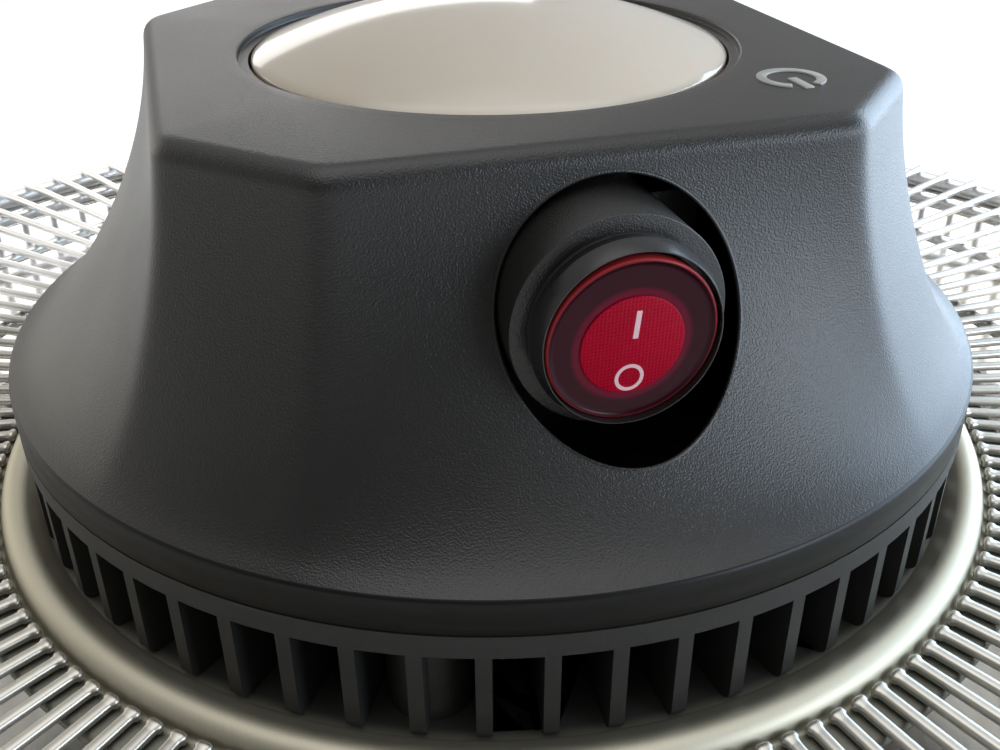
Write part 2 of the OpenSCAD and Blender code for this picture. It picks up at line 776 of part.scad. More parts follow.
module canopy_screws() {
    color(steel) around(4, 45) translate([screw_ring_r, 0, 4]) screw_up(2, 41, 4.1, 2.8);
}

module canopy_nuts() {
    color(steel) around(4, 45) translate([screw_ring_r, 0, canopy_h + shell_t])
        hex_nut(7, 3.2, 2.05);
}

module terminal_block() {
    color([0.88, 0.87, 0.82]) difference() {
        translate([-21, -40, canopy_h - 16]) cube([42, 20, 16]);
        for (x = [-14, 0, 14]) {
            translate([x, -41, canopy_h - 9]) rotate([-90, 0, 0])
                cylinder(r = 2.2, h = 30, $fn = 24);
            translate([x, -30, canopy_h - 17]) cylinder(r = 2.5, h = 8, $fn = 24);
        }
    }
}

module thermal_cutout() {
    translate([34, 6, canopy_h - 5]) {
        color(dark) cylinder(r = 8, h = 5, $fn = 48);
        color(brass) for (x = [-4.4, 3.6]) translate([x, -3, -8]) cube([0.8, 6, 8.01]);
    }
}

module earth_screw() {
    color(brass) translate([-34, 6, canopy_h - 3.2]) {
        screw_up(2, 3.2, 4, 2.4);
        hex_nut(7, 3.2, 1.98);
    }
}

// ---------- cable gland ----------

boss_face_y = canopy_r + 1;
module at_gland(y) {
    translate([0, -y, gland_z]) rotate([90, 0, 0]) children();
}

module cable_gland() {
    color(dark) difference() {
        union() {
            at_gland(54) cylinder(r = 8, h = boss_face_y - 54, $fn = 48);
            at_gland(boss_face_y) cylinder(r = 11.5, h = 5, $fn = 6);
            at_gland(boss_face_y + 5) cylinder(r = 8, h = 7, $fn = 48);
        }
        at_gland(50) cylinder(r = 5.5, h = 40, $fn = 48);
    }
}

module gland_seal() {
    color([0.25, 0.25, 0.25]) at_gland(boss_face_y + 12) ring(8, 4.25, 4);
    color([0.25, 0.25, 0.25]) at_gland(boss_face_y + 4) ring(5.4, 4.25, 8);
}

module gland_nut() {
    color(dark) difference() {
        union() {
            at_gland(boss_face_y + 5) cylinder(r = 11, h = 7, $fn = 6);
            at_gland(boss_face_y + 12) cylinder(r1 = 9.4, r2 = 8.9, h = 6, $fn = 48);
        }
        at_gland(boss_face_y + 4) cylinder(r = 8.1, h = 12.1, $fn = 48);
        at_gland(boss_face_y) cylinder(r = 5, h = 30, $fn = 48);
    }
}

module gland_locknut() {
    color(dark) at_gland(canopy_r - 10.5) hex_nut(20, 4.4, 8.05);
}

// ---------- bail ----------

bail_t = 3;
bail_w = 18;
arm_in = canopy_r + 3.1;
bail_corner = 16;
module bail() {
    outer_w = arm_in + bail_t;
    color(steel) difference() {
        intersection() {
            translate([0, 0, pivot_z - bail_w / 2]) linear_extrude(bail_w) difference() {
                bail_outline(outer_w, bail_len, bail_corner);
                bail_outline(arm_in, bail_len - bail_t, bail_corner - bail_t);
            }
            union() {
                translate([-100, 0, 0]) cube([200, bail_len + 5, 60]);
                translate([-100, 0, pivot_z]) rotate([0, 90, 0])
                    cylinder(r = bail_w / 2, h = 200, $fn = 64);
            }
        }
        translate([-100, 0, pivot_z]) rotate([0, 90, 0]) cylinder(r = 3.05, h = 200, $fn = 48);
        translate([0, bail_len + 5, pivot_z]) rotate([90, 0, 0])
            cylinder(r = eye_r, h = 20, $fn = 48);
    }
}

// Flat outline of the bail: straight arms with two round corners at the crosspiece
module bail_outline(half_w, length, corner) {
    translate([-half_w, -bail_w]) square([2 * half_w, bail_w + length - corner]);
    translate([-half_w + corner, length - corner - 0.01])
        square([2 * (half_w - corner), corner + 0.01]);
    for (s = [-1, 1]) translate([s * (half_w - corner), length - corner])
        circle(r = corner, $fn = 64);
}

bolt_head_x = arm_in + bail_t + 0.1;
module bail_bolts() {
    color(steel) for (side = [0, 180]) rotate(side) {
        translate([52, 0, pivot_z]) rotate([0, 90, 0])
            cylinder(r = 3, h = bolt_head_x - 52, $fn = 48);
        translate([bolt_head_x, 0, pivot_z]) rotate([0, 90, 0])
            cylinder(r = 5.8, h = 4, $fn = 6);
    }
}

module bail_washers() {
    color(dark) for (side = [0, 180]) rotate(side) translate([canopy_r + 1.5, 0, pivot_z])
        rotate([0, 90, 0]) ring(9, 3.1, 1.5);
}

module bail_nuts() {
    color(steel) for (side = [0, 180]) rotate(side) translate([canopy_r - 11.2, 0, pivot_z])
        rotate([0, 90, 0]) hex_nut(10, 5, 3.02);
}

pod_cover();
power_symbol();
lamp_dome();
dome_gasket();
led_tray();
led_board();
led_chips();
tray_screws();
pod_base();
pod_screws();
switch_carrier();
carrier_screws();
switch_seal();
switch_body();
switch_terminals();
contact_lever();
rocker();
rocker_plunger();
plunger_spring();
control_board();
relay();
power_supply();
capacitor();
board_screws();
guard_hub();
guard_wires();
guard_rings();
guard_hoop();
rim_clips();
reflector();
reflector_screws();
back_shell();
heat_shield();
centre_post();
post_nuts();
heater_tube();
filament();
tube_end_caps();
cap_bracket();
tube_clips();
rear_canopy();
canopy_screws();
canopy_nuts();
terminal_block();
thermal_cutout();
earth_screw();
cable_gland();
gland_seal();
gland_nut();
gland_locknut();
bail();
bail_bolts();
bail_washers();
bail_nuts();
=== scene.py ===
import json
import math

import bpy
from mathutils import Matrix, Vector


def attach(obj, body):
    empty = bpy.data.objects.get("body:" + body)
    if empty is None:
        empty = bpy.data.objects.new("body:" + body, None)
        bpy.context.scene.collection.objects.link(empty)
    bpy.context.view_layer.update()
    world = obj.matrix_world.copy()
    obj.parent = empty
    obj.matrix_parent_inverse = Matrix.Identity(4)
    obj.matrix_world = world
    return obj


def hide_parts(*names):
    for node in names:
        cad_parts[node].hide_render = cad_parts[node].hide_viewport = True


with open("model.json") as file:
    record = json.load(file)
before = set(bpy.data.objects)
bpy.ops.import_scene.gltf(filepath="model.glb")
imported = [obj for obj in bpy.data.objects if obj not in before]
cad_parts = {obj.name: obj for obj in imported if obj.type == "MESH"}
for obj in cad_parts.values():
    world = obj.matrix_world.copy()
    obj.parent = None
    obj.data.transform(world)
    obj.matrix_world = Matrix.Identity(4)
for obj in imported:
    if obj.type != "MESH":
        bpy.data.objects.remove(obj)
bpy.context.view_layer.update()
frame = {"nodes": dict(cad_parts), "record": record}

MM = 0.001

# Levels and radii in mm, in the CAD frame: +Z up, switch towards -Y
POD_R = 87.0
CREASE_Z = 176.0
TOP_Z = 223.8
ROOF_UNDER_Z = 220.6
PARTING_Z = 170.1
TOP_LONG = 53.6
TOP_SHORT = 63.6
TOP_EDGE = 3.3
COVER_WALL = 2.4
RECESS_R = 42.1
RECESS_Z = 222.6
DOME_HOLE_R = 40.4
DOME_R = 40.0
DOME_RISE = 8.0
OPENING_R = 17.2
OPENING_Z = 202.6
SWITCH_X = -1.8
SWITCH_Z = 203.3
BARREL_Y = 66.9
FLANGE_Y = 67.6
BEZEL_Y = 69.2
SWITCH_BACK_Y = 45.8
PIVOT_Y = 65.8
ROCKER_TILT = 3.5
ROCKER_FRONT = 5.8
ROCKER_R = 11.6
WINDOW_R = 7.1
WINDOW_DOWN = 0.6
WIRE_COUNT = 138
WIRE_R = 1.0
WIRE_START_R = 94.5
WIRE_END_R = 208.6
WIRE_START_Z = 150.1
WIRE_END_Z = 145.02
HUB_Z = 149.5
BEAD_R = 90.7
DISH_R = 208.0
DISH_FOOT_Z = 43.0
DISH_DEPTH = 93.0
SHEET_T = 0.8
RING_R = 138.0
RING_Z = 118.1
RING_START = 99.0
RING_SWEEP = 342.0
TUBE_R = 5.5
TUBE_BORE_R = 4.5

# Points of a mesh that lie closer than this, in mm, are merged
MERGE = 0.002
# Triangles of a CAD node that meet at less than this, in degrees, become one flat face
FLAT_ANGLE = 0.3

slot_of = {part["node"]: part["material_slot"] for part in frame["record"]["subparts"]}


# ---------- modelling ----------

def deselect():
    if bpy.context.mode != "OBJECT":
        bpy.ops.object.mode_set(mode="OBJECT")
    bpy.ops.object.select_all(action="DESELECT")


def choose(piece):
    deselect()
    piece.select_set(True)
    bpy.context.view_layer.objects.active = piece


def current(name):
    piece = bpy.context.object
    piece.name = name
    piece.data.name = name
    return piece


def close_shape():
    """Merges a shape's doubles, turns its faces outwards and leaves edit mode."""
    bpy.ops.mesh.select_all(action="SELECT")
    bpy.ops.mesh.remove_doubles(threshold=MERGE * MM)
    bpy.ops.mesh.normals_make_consistent(inside=False)
    bpy.ops.object.mode_set(mode="OBJECT")


def smooth_faces(piece, angle):
    """Smooths the faces of a piece that meet at less than an angle in degrees."""
    choose(piece)
    bpy.ops.object.shade_smooth_by_angle(angle=math.radians(angle))


def soften(piece, width=0.0, segments=2, angle=35, smooth=35):
    """Rounds the sharp edges of a piece by a bevel in mm and smooths its curved faces."""
    choose(piece)
    if width:
        rounding = piece.modifiers.new("rounded edges", "BEVEL")
        rounding.width = width * MM
        rounding.segments = segments
        rounding.limit_method = "ANGLE"
        rounding.angle_limit = math.radians(angle)
        rounding.harden_normals = False
        bpy.ops.object.modifier_apply(modifier=rounding.name)
        bpy.ops.object.mode_set(mode="EDIT")
        bpy.ops.mesh.select_all(action="SELECT")
        bpy.ops.mesh.dissolve_degenerate(threshold=MERGE / 2 * MM)
        bpy.ops.object.mode_set(mode="OBJECT")
    smooth_faces(piece, smooth)
    return piece


def lathe(name, profile, sides=96, closed=True, smooth=35):
    """Turns a profile of (radius, height) in mm round the Z axis.

    A closed profile makes a ring; an open one is closed by flat caps at both ends."""
    deselect()
    radius, height = profile[0]
    bpy.ops.mesh.primitive_circle_add(
        vertices=sides, radius=radius * MM, location=(0, 0, height * MM),
        fill_type="NOTHING" if closed else "NGON")
    piece = current(name)
    bpy.ops.object.mode_set(mode="EDIT")
    loop = profile + profile[:1] if closed else profile
    for (r0, z0), (r1, z1) in zip(loop, loop[1:]):
        bpy.ops.mesh.extrude_region_move(
            TRANSFORM_OT_translate={"value": (0, 0, (z1 - z0) * MM)})
        if r1 != r0:
            bpy.ops.transform.resize(value=(r1 / r0, r1 / r0, 1),
                                     center_override=(0, 0, z1 * MM))
    close_shape()
    choose(piece)
    bpy.ops.object.transform_apply(location=True, rotation=True, scale=True)
    smooth_faces(piece, smooth)
    return piece


def loft(name, rings, closed=True, smooth=35):
    """Extrudes a stack of equal circles and moves their points to the rings' points in mm."""
    deselect()
    count = len(rings[0])
    bpy.ops.mesh.primitive_circle_add(
        vertices=count, radius=1, fill_type="NOTHING" if closed else "NGON")
    piece = current(name)
    bpy.ops.object.mode_set(mode="EDIT")
    for _ in rings[1:]:
        bpy.ops.mesh.extrude_region_move(TRANSFORM_OT_translate={"value": (0, 0, 1)})
    bpy.ops.object.mode_set(mode="OBJECT")
    step = 2 * math.pi / count
    for vertex in piece.data.vertices:
        place = round((math.pi / 2 - math.atan2(vertex.co.y, vertex.co.x)) / step) % count
        vertex.co = Vector(rings[round(vertex.co.z)][place]) * MM
    bpy.ops.object.mode_set(mode="EDIT")
    close_shape()
    smooth_faces(piece, smooth)
    return piece


def put(piece, location=(0, 0, 0), turn=(0, 0, 0)):
    """Turns a piece by degrees, moves it by mm and puts both into its mesh."""
    piece.rotation_euler = [math.radians(a) for a in turn]
    piece.location = [v * MM for v in location]
    choose(piece)
    bpy.ops.object.transform_apply(location=True, rotation=True, scale=True)
    return piece


def face_switch(piece, pivot=0.0, tilt=0.0):
    """Turns a piece drawn along +Z to point along -Y from the switch axis."""
    return put(piece, (SWITCH_X, -pivot, SWITCH_Z), (90 + tilt, 0, 0))


def join(name, pieces):
    """Joins pieces into one that has a name of its own."""
    deselect()
    for piece in pieces:
        piece.select_set(True)
    bpy.context.view_layer.objects.active = pieces[0]
    bpy.ops.object.join()
    return current(name)


def merged_copy(node, name=None, bevel=0.0, segments=2, angle=35):
    """A copy of a CAD node with its points merged and its edges rounded by a bevel in mm."""
    source = frame["nodes"][node]
    piece = source.copy()
    piece.data = source.data.copy()
    bpy.context.scene.collection.objects.link(piece)
    piece.parent = None
    piece.matrix_world = source.matrix_world.copy()
    choose(piece)
    current(name or node + ".looks")
    bpy.ops.object.mode_set(mode="EDIT")
    bpy.ops.mesh.select_all(action="SELECT")
    bpy.ops.mesh.remove_doubles(threshold=MERGE * MM)
    bpy.ops.mesh.customdata_custom_splitnormals_clear()
    bpy.ops.mesh.dissolve_limited(angle_limit=math.radians(FLAT_ANGLE))
    bpy.ops.object.mode_set(mode="OBJECT")
    return soften(piece, bevel, segments, angle)


def arc(cx, cz, radius, start, end, steps):
    """Points on an arc of a profile, from one angle to another in degrees."""
    return [(cx + radius * math.cos(math.radians(start + (end - start) * i / steps)),
             cz + radius * math.sin(math.radians(start + (end - start) * i / steps)))
            for i in range(steps + 1)]


# ---------- finishes ----------

class Signal:
    """A socket in a finish's nodes. Arithmetic on it adds Math nodes."""

    def __init__(self, finish, socket):
        self.finish = finish
        self.socket = socket

    def math(self, operation, first, second=None):
        return self.finish.node("Math", {"operation": operation}, [first, second])

    def __add__(self, other):
        return self.math("ADD", self, other)

    def __radd__(self, other):
        return self.math("ADD", other, self)

    def __sub__(self, other):
        return self.math("SUBTRACT", self, other)

    def __rsub__(self, other):
        return self.math("SUBTRACT", other, self)

    def __mul__(self, other):
        return self.math("MULTIPLY", self, other)

    def __rmul__(self, other):
        return self.math("MULTIPLY", other, self)


class Finish:
    """A material whose shader is fed by procedural nodes on Object coordinates."""

    def __init__(self, name, **sockets):
        self.material = bpy.data.materials.new(name)
        self.material.use_nodes = True
        self.tree = self.material.node_tree
        self.shader = self.tree.nodes["Principled BSDF"]
        self.place = self.node("TexCoord", output="Object")
        self.set(**sockets)

    def node(self, kind, settings=None, inputs=(), output=0):
        new = self.tree.nodes.new("ShaderNode" + kind)
        for key, value in (settings or {}).items():
            if key == "stops":
                elements = new.color_ramp.elements
                while len(elements) < len(value):
                    elements.new(0.5)
                for element, (position, colour) in zip(elements, value):
                    element.position = position
                    element.color = colour if len(colour) == 4 else (*colour, 1)
            else:
                setattr(new, key, value)
        pairs = inputs.items() if isinstance(inputs, dict) else enumerate(inputs)
        for key, value in pairs:
            self.feed(new.inputs[key], value)
        return Signal(self, new.outputs[output])

    def feed(self, socket, value):
        if isinstance(value, Signal):
            self.tree.links.new(value.socket, socket)
        elif value is not None:
            if isinstance(value, tuple) and len(value) == 3 and socket.type == "RGBA":
                value = (*value, 1)
            socket.default_value = value

    def set(self, **sockets):
        for key, value in sockets.items():
            self.feed(self.shader.inputs[key.replace("_", " ").title().replace("Ior", "IOR")],
                      value)

    def noise(self, size, detail=2.0, roughness=0.5, vector=None):
        """Noise whose features are about size mm across."""
        return self.node("TexNoise", None, {
            "Vector": vector or self.place, "Scale": 1 / (size * MM), "Detail": detail,
            "Roughness": roughness})

    def stretched(self, scale, turn=(0, 0, 0)):
        return self.node("Mapping", None, {
            "Vector": self.place, "Rotation": tuple(math.radians(a) for a in turn),
            "Scale": scale})

    def ramp(self, value, *stops):
        """A value's ramp from one grey or colour to the next at the stops' places."""
        wide = [(p, c if isinstance(c, tuple) else (c, c, c)) for p, c in stops]
        return self.node("ValToRGB", {"stops": wide}, [value])

    def blend(self, factor, first, second):
        return self.node("Mix", {"data_type": "RGBA"}, {0: factor, 6: first, 7: second},
                         output=2)

    def bump(self, height, depth, strength=1.0, normal=None):
        """A bump of a height between 0 and 1 over a depth in mm."""
        return self.node("Bump", None, {
            "Height": height, "Distance": depth * MM, "Strength": strength, "Normal": normal})

    def along(self, axes):
        """The place along each of the named axes, in metres."""
        return [self.node("SeparateXYZ", None, [self.place], output=axis) for axis in axes]

    def radius(self, axes="XY", centre=(0.0, 0.0)):
        """Distance in metres, across two axes, from a centre in mm."""
        first, second = (value - at * MM for value, at in zip(self.along(axes), centre))
        return self.node("Math", {"operation": "SQRT"}, [first * first + second * second])

    def bands(self, distance, reach, *stops):
        """A ramp over a distance in metres, with its stops and its reach in mm."""
        return self.ramp(distance * (1 / (reach * MM)),
                         *((place / reach, value) for place, value in stops))


def grained_plastic(name, colour, rough, grain=0.27, depth=0.075):
    """Moulded black plastic with a fine spark-eroded grain."""
    finish = Finish(name, ior=1.5)
    fine = finish.noise(grain, 1)
    broad = finish.noise(26, 3)
    finish.set(base_color=finish.blend(broad, tuple(v * 0.8 for v in colour),
                                       tuple(v * 1.25 for v in colour)),
               roughness=rough - 0.05 + broad * 0.1, normal=finish.bump(fine, depth))
    return finish.material


def opal_plastic():
    finish = Finish("opal lamp plastic", ior=1.47, subsurface_weight=0.25,
                    subsurface_scale=0.004, coat_weight=0.25, coat_roughness=0.04)
    cloud = finish.noise(30, 2)
    finish.set(base_color=finish.blend(cloud, (0.62, 0.54, 0.44), (0.71, 0.63, 0.525)),
               roughness=0.1 + finish.noise(9, 2) * 0.05)
    return finish.material


def moulded(name, colour, rough, grain=0.5, depth=0.01, vary=0.2, specular=0.5):
    """Smooth moulded plastic, paint or rubber with slight unevenness."""
    finish = Finish(name, specular_ior_level=specular)
    fine = finish.noise(grain, 2)
    broad = finish.noise(14, 3)
    finish.set(base_color=finish.blend(broad, tuple(v * (1 - vary) for v in colour),
                                       tuple(min(v * (1 + vary), 1) for v in colour)),
               roughness=rough - 0.05 + broad * 0.1, normal=finish.bump(fine, depth))
    return finish.material


def rocker_plastic():
    """Dark red see-through plastic, with a painted glow beside the window and a painted highlight
    at its rim.
    """
    finish = Finish("dark red rocker plastic", ior=1.45, specular_ior_level=0.16)
    tilted_down = 0.35
    disc_centre = (SWITCH_X, SWITCH_Z - tilted_down)
    window_centre = (SWITCH_X, SWITCH_Z - tilted_down - WINDOW_DOWN)
    # Painted glow: brighter red just outside the window, fading into the plastic's dark red
    painted_glow = finish.bands(finish.radius("XZ", window_centre), 12.5,
                        (7.75, (0.09, 0.0, 0.013)), (8.375, (0.02, 0.0, 0.004)))
    # Painted highlight: a lighter red band round the disc's outer rim
    rim = finish.bands(finish.radius("XZ", disc_centre), 12.5, (11.1875, 0.0), (11.4375, 1.0))
    finish.set(base_color=finish.blend(rim, painted_glow, (0.26, 0.02, 0.024)),
               roughness=0.2 + finish.noise(1.5, 2) * 0.08)
    return finish.material


def rocker_window():
    """The crimson middle of the rocker, with its fine square grid of dots."""
    finish = Finish("crimson rocker window", ior=1.4, specular_ior_level=0.12)
    pitch = 1.0
    waves = [finish.node("Math", {"operation": "SINE"}, [value * (2 * math.pi / (pitch * MM))])
             for value in finish.along("XZ")]
    dots = finish.ramp(waves[0] * waves[1], (0.35, 0.0), (0.75, 1.0))
    cross = finish.ramp(0 - waves[0] * waves[1], (0.35, 0.0), (0.75, 1.0))
    grid = finish.node("Math", {"operation": "MAXIMUM"}, [dots, cross])
    cloud = finish.noise(6, 2)
    tone = finish.blend(cloud, (0.27, 0.0, 0.012), (0.36, 0.0, 0.02))
    finish.set(base_color=finish.blend(grid * 0.7, tone, (0.14, 0.0, 0.006)),
               roughness=0.32, normal=finish.bump(grid, 0.03))
    return finish.material


def bare_metal(name, colour, rough, streak=(1, 1, 1), vary=0.12, depth=0.004, size=2.5):
    """Bare or plated metal with fine uneven streaks."""
    finish = Finish(name, metallic=1.0)
    marks = finish.noise(size, 4, 0.6, finish.stretched(streak))
    broad = finish.noise(30, 2)
    finish.set(base_color=finish.blend(marks, tuple(v * (1 - vary) for v in colour),
                                       tuple(min(v * (1 + vary), 1) for v in colour)),
               roughness=rough - 0.06 + broad * 0.08 + marks * 0.06,
               normal=finish.bump(marks, depth))
    return finish.material


def satin_hub():
    """The stamped hub: bright satin bead, with painted shade on the floor inside it and on the
    flange under the wires.
    """
    finish = Finish("satin stamped hub", metallic=1.0)
    radius = finish.radius()
    rings = finish.noise(0.35, 2, 0.6, finish.node("CombineXYZ", None, [radius, 0.0, 0.0]))
    speckle = finish.noise(0.4, 2)
    # Painted shade: the floor inside the bead and the flange under the wires turn dark grey
    painted_shade = finish.bands(radius, 100, (84.5, 1.0), (87.2, 0.0), (94.0, 0.0), (95.2, 0.8))
    tone = finish.blend(speckle, (0.46, 0.43, 0.34), (0.53, 0.5, 0.4))
    finish.set(base_color=finish.blend(painted_shade, tone, (0.15, 0.156, 0.14)),
               roughness=0.5 + speckle * 0.08 + painted_shade * 0.05,
               normal=finish.bump(rings * 0.5 + speckle * 0.5, 0.008))
    return finish.material


def bright_wire():
    """Plated wire in its own grey near the hub, with a painted white highlight towards the rim.
    """
    finish = Finish("bright wire", metallic=1.0)
    marks = finish.noise(1.8, 4, 0.6)
    # Painted highlight: the wires turn near white from 120 to 140 mm out
    outer = finish.bands(finish.radius(), 200, (120, 0.0), (140, 1.0))
    tone = finish.blend(marks, (0.45, 0.435, 0.39), (0.58, 0.565, 0.51))
    finish.set(base_color=finish.blend(outer, tone, (0.95, 0.945, 0.93)),
               roughness=0.36 + marks * 0.08, normal=finish.bump(marks, 0.006))
    return finish.material


def polished_dish():
    """Spun and polished sheet: fine rings round the axis, and broad pale cream to violet patches
    that are painted reflections.
    """
    finish = Finish("polished dish", metallic=1.0)
    radius = finish.radius()
    rings = finish.noise(1.3, 3, 0.6, finish.node("CombineXYZ", None, [radius, 0.0, 0.0]))
    # Painted reflection: broad cream, pale and violet patches in the base colour
    painted_reflection_tint = finish.noise(45, 2)
    tone = finish.ramp(painted_reflection_tint, (0.3, (0.93, 0.88, 0.78)), (0.5, (0.92, 0.91, 0.88)),
                       (0.7, (0.86, 0.84, 0.9)))
    finish.set(base_color=tone, roughness=0.07 + rings * 0.07,
               normal=finish.bump(rings, 0.01))
    return finish.material


def quartz():
    finish = Finish("frosted quartz", ior=1.46, transmission_weight=0.75)
    frost = finish.noise(6, 3)
    finish.set(base_color=finish.blend(frost, (0.9, 0.89, 0.86), (0.97, 0.96, 0.94)),
               roughness=0.12 + frost * 0.16)
    return finish.material


def circuit_board():
    finish = Finish("green circuit board", coat_weight=0.3, coat_roughness=0.2)
    tracks = finish.node("TexBrick", None, {
        "Vector": finish.place, "Scale": 90.0, "Mortar Size": 0.03,
        "Color1": (0.02, 0.11, 0.04, 1), "Color2": (0.03, 0.15, 0.06, 1),
        "Mortar": (0.05, 0.22, 0.1, 1)})
    finish.set(base_color=tracks, roughness=0.35 + finish.noise(4, 2) * 0.1)
    return finish.material


zinc = bare_metal("zinc plated steel", (0.6, 0.6, 0.58), 0.34, size=1.6, depth=0.006)
sheet = bare_metal("rolled sheet steel", (0.56, 0.555, 0.54), 0.38, (1, 6, 1), size=4)
brass = bare_metal("brass", (0.72, 0.52, 0.24), 0.3, size=2)
pod_black = grained_plastic("grained black plastic", (0.0105, 0.0098, 0.009), 0.38)
finish_of = {
    "pod_black": pod_black,
    "fin_black": grained_plastic("black fin plastic", (0.013, 0.013, 0.0125), 0.46, 0.45,
                                 0.03),
    "symbol_grey": moulded("light grey inlay", (0.42, 0.42, 0.40), 0.42, 0.4, 0.015, 0.12),
    "opal_dome": opal_plastic(),
    "soft_rubber": moulded("black rubber", (0.011, 0.011, 0.011), 0.55, 0.6, 0.012),
    "tray_metal": sheet,
    "white_board": moulded("white lamp board", (0.72, 0.72, 0.69), 0.4),
    "chip_yellow": moulded("yellow lamp chips", (0.75, 0.55, 0.08), 0.3),
    "screw_steel": zinc,
    "switch_black": moulded("satin black switch plastic", (0.014, 0.014, 0.015), 0.27,
                            0.7, 0.006),
    "rocker_red": rocker_plastic(),
    "contact_brass": brass,
    "board_green": circuit_board(),
    "relay_blue": moulded("blue relay case", (0.02, 0.06, 0.28), 0.35),
    "supply_yellow": moulded("yellow transformer tape", (0.6, 0.45, 0.08), 0.45),
    "bead_silver": satin_hub(),
    "wire_silver": bright_wire(),
    "dish_polished": polished_dish(),
    "shell_black": moulded("black powder coat", (0.02, 0.02, 0.021), 0.42, 0.8, 0.05),
    "sheet_steel": sheet,
    "quartz_tube": quartz(),
    "filament_wire": bare_metal("resistance wire", (0.36, 0.32, 0.28), 0.45, size=1),
    "ceramic_white": moulded("white ceramic", (0.74, 0.72, 0.65), 0.5, 0.5, 0.02, 0.06),
    "block_cream": moulded("cream terminal plastic", (0.62, 0.59, 0.5), 0.4, vary=0.06),
    "gland_black": moulded("black gland plastic", (0.016, 0.016, 0.017), 0.36, 0.6, 0.012),
    "bail_steel": bare_metal("brushed bail steel", (0.6, 0.595, 0.57), 0.3, (1, 1, 12),
                             size=3, depth=0.01),
}


def dress(piece, material, body="root", nodes=()):
    """Gives a piece its finish, its body and the CAD nodes it stands for."""
    piece.data.materials.clear()
    piece.data.materials.append(material)
    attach(piece, body)
    if nodes:
        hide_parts(*nodes)


def stand_for(piece, node, body="root"):
    """Dresses a piece in the finish of the CAD node that it stands for."""
    dress(piece, finish_of[slot_of[node]], body, (node,))


# ---------- pod cover ----------

# How sharp the plan's corners are, and the angle of a corner from a long side's middle
CORNER_POWER = 90
CORNER = math.degrees(math.atan2(TOP_SHORT * math.sqrt(2) - TOP_LONG, TOP_LONG))
# The flare's curve from the top to the crease: how far down it is and how round
FLARE_DOWN = (0, 0.263, 0.499, 0.934, 1)
FLARE_ROUND = (0, 0.084, 0.252, 0.65, 1)
FLARE_H = TOP_Z - CREASE_Z - TOP_EDGE
# Where the shell meets the lip: how far inside the crease, and how far above it
LIP_EDGE = 0.42
LIP_GAP = 0.04
# How far below the crease the shell's inner wall starts
INNER_DROP = 1.6


def plan_radius(angle, long, short):
    """Radius of the octagonal plan: a square with short corner sides."""
    total = 0
    for k in range(4):
        for direction, distance in ((90 * k, long), (45 + 90 * k, short)):
            side = max(math.cos(math.radians(angle - direction)), 0.01) / distance
            total += side ** CORNER_POWER
    return total ** (-1 / CORNER_POWER)


def quartic(p, s):
    """A curve's value from its five control values, for s from 0 to 1."""
    return (p[0] * (1 - s) ** 4 + 4 * p[1] * (1 - s) ** 3 * s
            + 6 * p[2] * (1 - s) ** 2 * s ** 2 + 4 * p[3] * (1 - s) * s ** 3 + p[4] * s ** 4)


def plan_angles():
    """Angles round the plan, closer together at its corners."""
    near = 3.0
    quarter = []
    for start, end, steps in ((near - CORNER, CORNER - near, 40),
                              (CORNER - near, CORNER + near, 12),
                              (CORNER + near, 90 - CORNER - near, 8),
                              (90 - CORNER - near, 90 - CORNER + near, 12)):
        quarter += [start + (end - start) * i / steps for i in range(steps)]
    return [a + 90 * k for k in range(4) for a in quarter]


PLAN_ANGLES = plan_angles()


def plan_ring(z, long, short, round_r, roundness):
    """Points at a level, between the octagon at roundness 0 and the circle at 1."""
    ring = []
    for angle in PLAN_ANGLES:
        r = plan_radius(angle, long, short) * (1 - roundness) + round_r * roundness
        ring.append((r * math.cos(math.radians(angle)), r * math.sin(math.radians(angle)), z))
    return ring


def round_ring(z, r):
    """A circle at a level, with its points at the same angles as the octagon's."""
    return plan_ring(z, r, r, r, 1)


def flare_rings(foot_z, height, long, short, round_r, steps):
    """Rings from the round crease up to the flat-sided top."""
    return [plan_ring(foot_z + height * (1 - quartic(FLARE_DOWN, s)), long, short, round_r,
                      quartic(FLARE_ROUND, s)) for s in (i / steps for i in range(steps, -1, -1))]


def pod_surface_y(x, z):
    """How far the flare stands out towards -Y at a place on the front, in mm."""
    halvings = 40
    low, high = 0.0, 1.0
    for _ in range(halvings):
        s = (low + high) / 2
        if CREASE_Z + FLARE_H * (1 - quartic(FLARE_DOWN, s)) > z:
            low = s
        else:
            high = s
    roundness = quartic(FLARE_ROUND, s)
    near, far = 30.0, 90.0
    for _ in range(halvings):
        y = (near + far) / 2
        angle = math.degrees(math.atan2(-y, x))
        flat = plan_radius(angle, TOP_LONG + TOP_EDGE, TOP_SHORT + TOP_EDGE)
        r = flat * (1 - roundness) + POD_R * roundness
        if math.hypot(x, y) < r:
            near = y
        else:
            far = y
    return y


def circle(count):
    """Angles in radians, evenly spaced round a circle."""
    return [2 * math.pi * i / count for i in range(count)]


def round_opening(radius, depth):
    """Points round the switch opening at a depth under the pod's surface in mm."""
    ring = []
    for a in circle(120):
        x, z = math.cos(a), math.sin(a)
        surface = pod_surface_y(OPENING_R * x, OPENING_Z + OPENING_R * z)
        ring.append((radius * x, depth - surface, OPENING_Z + radius * z))
    return ring


def make_opening_lip():
    """The thin rolled lip that follows the pod's surface round the switch opening."""
    lip_r, outside, under = 0.3, 0.22, 0.12
    rings = []
    for a in circle(160):
        x, z = OPENING_R * math.cos(a), OPENING_Z + OPENING_R * math.sin(a)
        centre = Vector((x, under - pod_surface_y(x, z), z))
        out = Vector((math.cos(a), 0, math.sin(a)))
        rings.append([tuple(centre + out * (outside + lip_r * math.cos(b))
                            + Vector((0, 1, 0)) * lip_r * math.sin(b)) for b in circle(8)])
    return loft("opening lip", rings + rings[:1], smooth=60)


